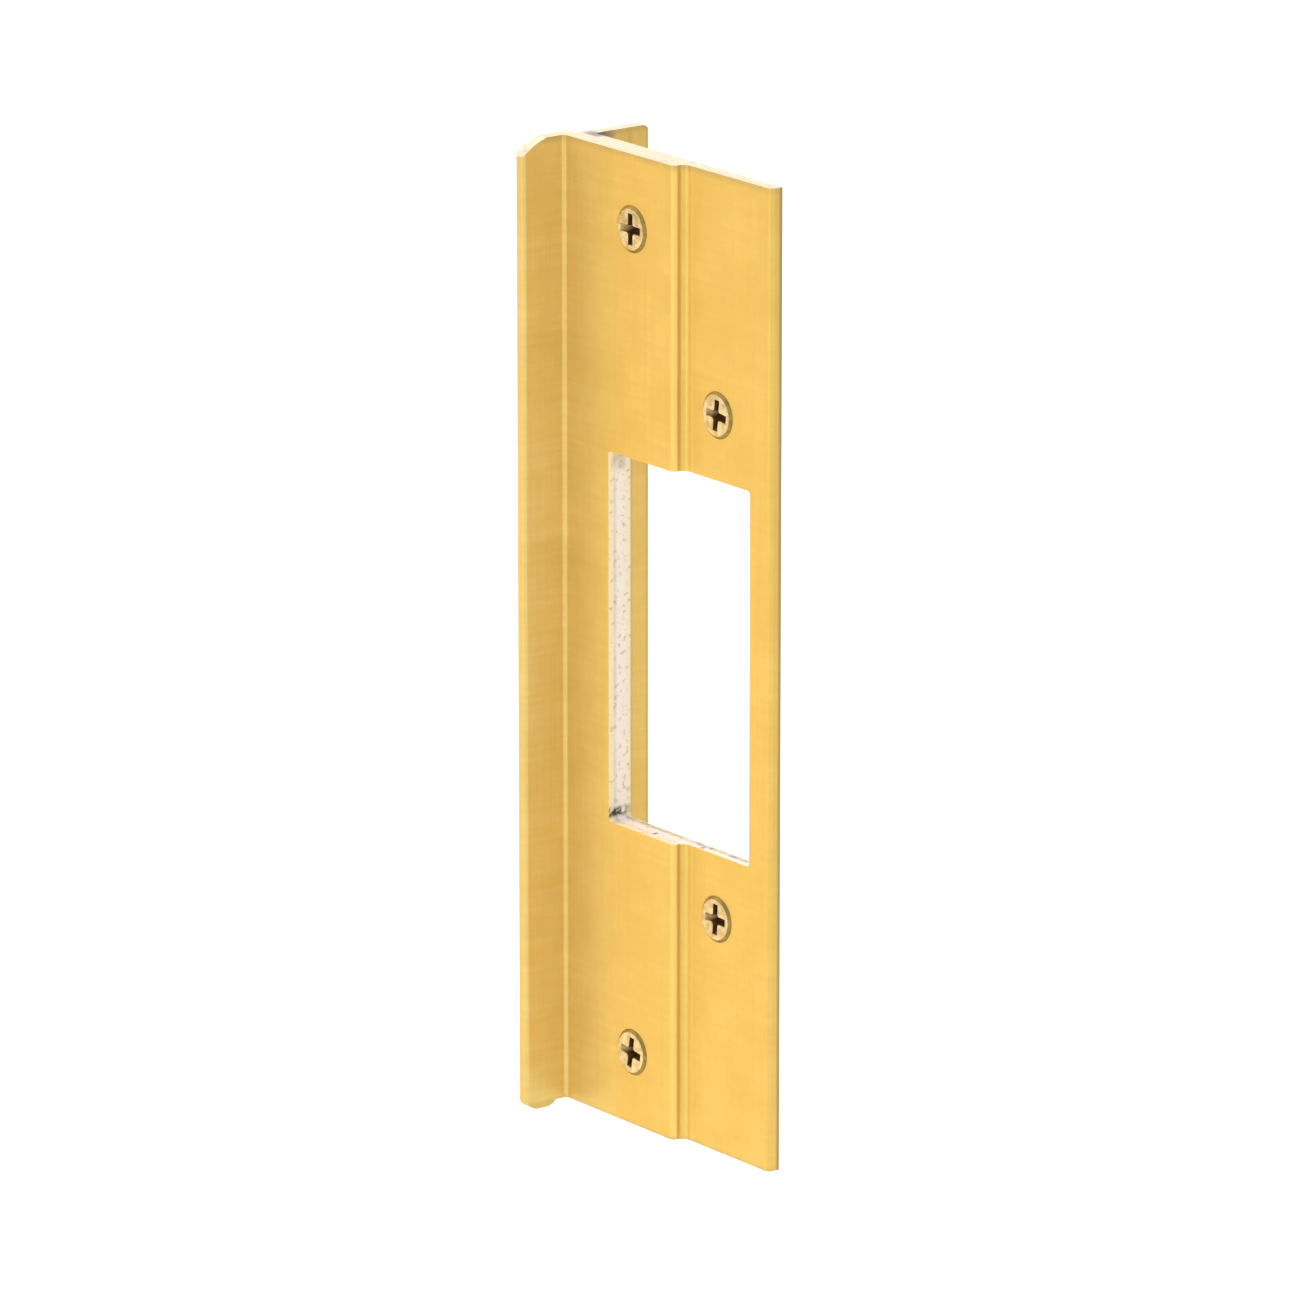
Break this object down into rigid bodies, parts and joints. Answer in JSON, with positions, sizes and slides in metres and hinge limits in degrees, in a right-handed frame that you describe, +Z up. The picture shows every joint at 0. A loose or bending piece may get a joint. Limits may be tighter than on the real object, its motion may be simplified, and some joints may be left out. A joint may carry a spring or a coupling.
{
  "type": "electric strike latch guard",
  "caption": "Stepped latch guard for an electric strike: stacked lipped angles with a rectangular latch cut-out, held by countersunk cross-recess screws.",
  "frame": {"origin": "on the back face that lies against the jamb, midway between the strike screws", "axes": "+X from the flanges towards the free edge, +Y back into the jamb, +Z up along the height"},
  "size_m": [0.0663, 0.0299, 0.2043],
  "materials": {
    "gold_anodised": "satin",
    "screw_brass": "satin"
  },
  "bodies": {
    "plates": {"guard_angle": "gold_anodised", "base_angle": "gold_anodised"},
    "upper_guard_screw": {"upper_guard_screw": "screw_brass"},
    "lower_guard_screw": {"lower_guard_screw": "screw_brass"},
    "upper_strike_screw": {"upper_strike_screw": "screw_brass"},
    "lower_strike_screw": {"lower_strike_screw": "screw_brass"}
  },
  "joints": [
    {"name": "upper_guard_screw_travel", "type": "slide", "parent": "plates", "child": "upper_guard_screw", "axis": [0, -1, 0], "range_m": [0, 0.018]},
    {"name": "lower_guard_screw_travel", "type": "slide", "parent": "plates", "child": "lower_guard_screw", "axis": [0, -1, 0], "range_m": [0, 0.018]},
    {"name": "upper_strike_screw_travel", "type": "slide", "parent": "plates", "child": "upper_strike_screw", "axis": [0, -1, 0], "range_m": [0, 0.0115]},
    {"name": "lower_strike_screw_travel", "type": "slide", "parent": "plates", "child": "lower_strike_screw", "axis": [0, -1, 0], "range_m": [0, 0.0115]}
  ]
}
